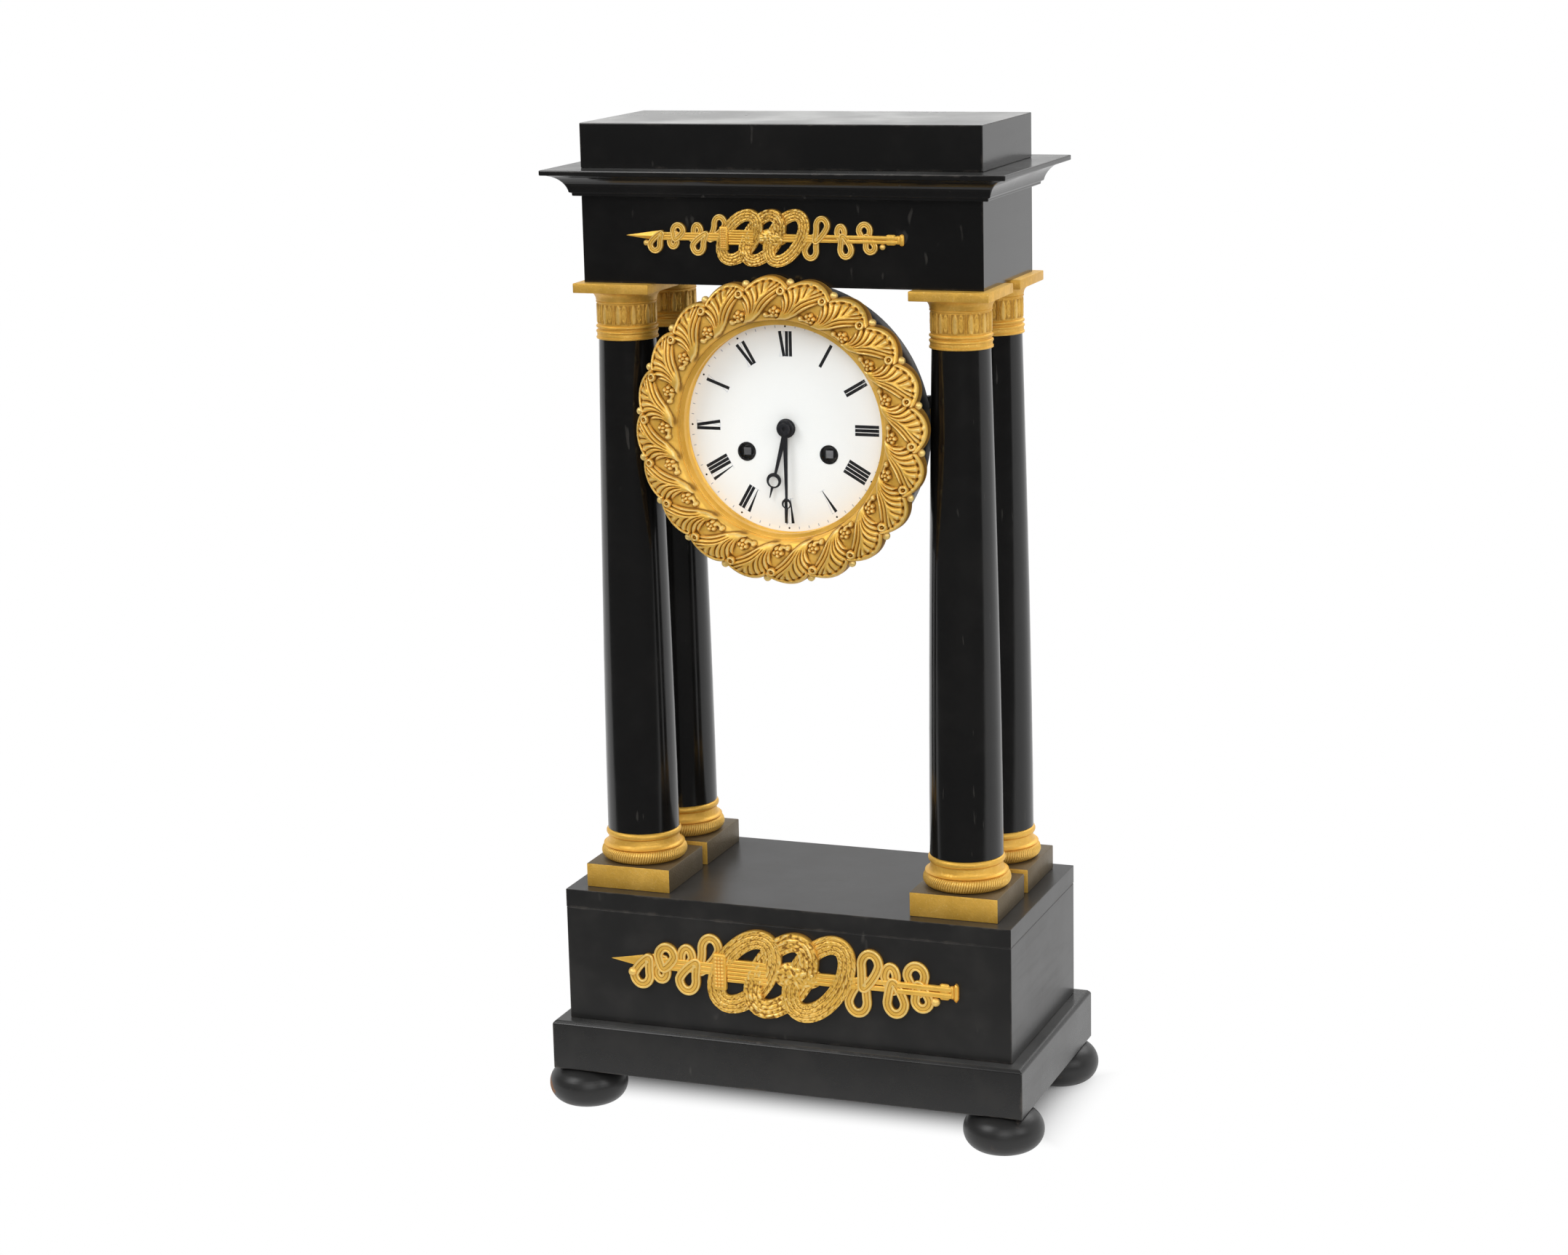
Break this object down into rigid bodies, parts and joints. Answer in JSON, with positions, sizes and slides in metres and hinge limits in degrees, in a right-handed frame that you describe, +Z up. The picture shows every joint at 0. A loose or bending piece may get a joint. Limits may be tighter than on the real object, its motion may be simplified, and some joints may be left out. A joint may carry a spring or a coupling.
{
  "type": "portico clock",
  "caption": "Free-standing portico clock: columns on a plinth carry an entablature, with a gilt-bezelled drum holding a striking spring-driven movement.",
  "frame": {"origin": "on the floor, under the middle of the case", "axes": "+Z up, -Y out of the dial, +X to the right of the dial as it is read"},
  "size_m": [0.255, 0.135, 0.4831],
  "materials": {
    "ebonised_wood": "black lacquer, polished",
    "gilt_bronze": "matte gilding",
    "black_metal": "black paint",
    "enamel": "white enamel, glossy",
    "glass": "clear",
    "blued_steel": "black oxide",
    "steel": "polished",
    "brass": "satin"
  },
  "bodies": {
    "case": {"bun_feet": "ebonised_wood", "plinth": "ebonised_wood", "base_box": "ebonised_wood", "base_top_board": "ebonised_wood", "base_ornament": "gilt_bronze", "column_bases": "gilt_bronze", "column_shafts": "ebonised_wood", "column_capitals": "gilt_bronze", "tie_rods": "steel", "frieze_box": "ebonised_wood", "frieze_ornament": "gilt_bronze", "cornice": "ebonised_wood", "attic": "ebonised_wood", "backing_ring": "black_metal", "drum": "black_metal", "rear_ring": "brass", "back_hinge_pin": "brass", "bezel_hinge_pin": "brass", "dial": "enamel", "winding_grommets": "brass", "dial_plate": "brass", "front_plate": "brass", "back_plate": "brass", "plate_pillars": "brass", "movement_rods": "brass", "back_cock": "brass", "suspension": "brass", "bell": "brass", "bell_stand": "brass"},
    "bezel_door": {"bezel": "gilt_bronze", "sight_ring": "gilt_bronze", "bezel_glass": "glass"},
    "back_door": {"back_door": "brass"},
    "minute_hand": {"minute_hand": "blued_steel", "hand_nut": "blued_steel", "cannon_pinion": "steel"},
    "minute_wheel": {"minute_wheel": "brass"},
    "hour_hand": {"hour_hand": "blued_steel", "hour_wheel": "brass"},
    "escape_wheel": {"escape_wheel": "brass"},
    "third_wheel": {"third_wheel": "brass"},
    "centre_wheel": {"centre_wheel": "brass"},
    "intermediate_wheel": {"intermediate_wheel": "brass"},
    "going_barrel": {"going_barrel": "brass", "going_barrel_cap": "brass", "going_mainspring": "steel"},
    "fly": {"fly": "steel"},
    "locking_wheel": {"locking_wheel": "brass"},
    "pin_wheel": {"pin_wheel": "brass"},
    "second_wheel": {"second_wheel": "brass"},
    "strike_barrel": {"strike_barrel": "brass", "strike_barrel_cap": "brass", "strike_mainspring": "steel"},
    "going_arbor": {"going_arbor": "steel"},
    "strike_arbor": {"strike_arbor": "steel"},
    "going_click": {"going_click": "steel"},
    "strike_click": {"strike_click": "steel"},
    "anchor": {"anchor": "steel"},
    "hammer": {"hammer": "steel"}
  },
  "joints": [
    {"name": "bezel_door_hinge", "type": "hinge", "parent": "case", "child": "bezel_door", "pos_m": [-0.0703, -0.0368, 0.341], "axis": [0, 0, -1], "range_deg": [0, 48]},
    {"name": "back_door_hinge", "type": "hinge", "parent": "case", "child": "back_door", "pos_m": [0.0536, 0.0199, 0.341], "axis": [0, 0, -1], "range_deg": [0, 110]},
    {"name": "minute_hand_turn", "type": "hinge", "parent": "case", "child": "minute_hand", "pos_m": [0, 0, 0.341], "axis": [0, -1, 0], "continuous": true},
    {"name": "minute_wheel_turn", "type": "hinge", "parent": "case", "child": "minute_wheel", "pos_m": [0, 0, 0.3506], "axis": [0, -1, 0], "continuous": true},
    {"name": "hour_hand_turn", "type": "hinge", "parent": "case", "child": "hour_hand", "pos_m": [0, 0, 0.341], "axis": [0, -1, 0], "continuous": true},
    {"name": "escape_wheel_turn", "type": "hinge", "parent": "case", "child": "escape_wheel", "pos_m": [0, 0, 0.36586], "axis": [0, -1, 0], "continuous": true},
    {"name": "third_wheel_turn", "type": "hinge", "parent": "case", "child": "third_wheel", "pos_m": [-0.00132, 0, 0.35474], "axis": [0, -1, 0], "continuous": true},
    {"name": "centre_wheel_turn", "type": "hinge", "parent": "case", "child": "centre_wheel", "pos_m": [0, 0, 0.341], "axis": [0, -1, 0], "continuous": true},
    {"name": "intermediate_wheel_turn", "type": "hinge", "parent": "case", "child": "intermediate_wheel", "pos_m": [0.01319, 0, 0.34929], "axis": [0, -1, 0], "continuous": true},
    {"name": "going_barrel_turn", "type": "hinge", "parent": "case", "child": "going_barrel", "pos_m": [0.0206, 0, 0.329], "axis": [0, -1, 0], "continuous": true},
    {"name": "fly_turn", "type": "hinge", "parent": "case", "child": "fly", "pos_m": [-0.00993, 0, 0.37535], "axis": [0, -1, 0], "continuous": true},
    {"name": "locking_wheel_turn", "type": "hinge", "parent": "case", "child": "locking_wheel", "pos_m": [-0.01138, 0, 0.36716], "axis": [0, -1, 0], "continuous": true},
    {"name": "pin_wheel_turn", "type": "hinge", "parent": "case", "child": "pin_wheel", "pos_m": [-0.01867, 0, 0.36104], "axis": [0, -1, 0], "continuous": true},
    {"name": "second_wheel_turn", "type": "hinge", "parent": "case", "child": "second_wheel", "pos_m": [-0.01319, 0, 0.34929], "axis": [0, -1, 0], "continuous": true},
    {"name": "strike_barrel_turn", "type": "hinge", "parent": "case", "child": "strike_barrel", "pos_m": [-0.0206, 0, 0.329], "axis": [0, -1, 0], "continuous": true},
    {"name": "going_winding_turn", "type": "hinge", "parent": "case", "child": "going_arbor", "pos_m": [0.0206, 0, 0.329], "axis": [0, -1, 0], "continuous": true},
    {"name": "strike_winding_turn", "type": "hinge", "parent": "case", "child": "strike_arbor", "pos_m": [-0.0206, 0, 0.329], "axis": [0, -1, 0], "continuous": true},
    {"name": "going_click_lift", "type": "hinge", "parent": "case", "child": "going_click", "pos_m": [0.02961, 0, 0.33531], "axis": [0, -1, 0], "range_deg": [-12, 0]},
    {"name": "strike_click_lift", "type": "hinge", "parent": "case", "child": "strike_click", "pos_m": [-0.02961, 0, 0.33531], "axis": [0, -1, 0], "range_deg": [0, 12]},
    {"name": "anchor_swing", "type": "hinge", "parent": "case", "child": "anchor", "pos_m": [0, 0, 0.37886], "axis": [0, -1, 0], "range_deg": [-3, 3]},
    {"name": "hammer_lift", "type": "hinge", "parent": "case", "child": "hammer", "pos_m": [-0.034, 0, 0.357], "axis": [0, -1, 0], "range_deg": [0, 25]}
  ],
  "couplings": [
    {"joint": "minute_wheel_turn", "follows": "minute_hand_turn", "ratio": -0.33333},
    {"joint": "hour_hand_turn", "follows": "minute_hand_turn", "ratio": 0.083333},
    {"joint": "third_wheel_turn", "follows": "escape_wheel_turn", "ratio": -0.11111},
    {"joint": "centre_wheel_turn", "follows": "escape_wheel_turn", "ratio": 0.010582},
    {"joint": "intermediate_wheel_turn", "follows": "escape_wheel_turn", "ratio": -0.0014697},
    {"joint": "going_barrel_turn", "follows": "escape_wheel_turn", "ratio": 0.00020996},
    {"joint": "locking_wheel_turn", "follows": "fly_turn", "ratio": -0.14286},
    {"joint": "pin_wheel_turn", "follows": "fly_turn", "ratio": 0.019048},
    {"joint": "second_wheel_turn", "follows": "fly_turn", "ratio": -0.002381},
    {"joint": "strike_barrel_turn", "follows": "fly_turn", "ratio": 0.00034014}
  ]
}
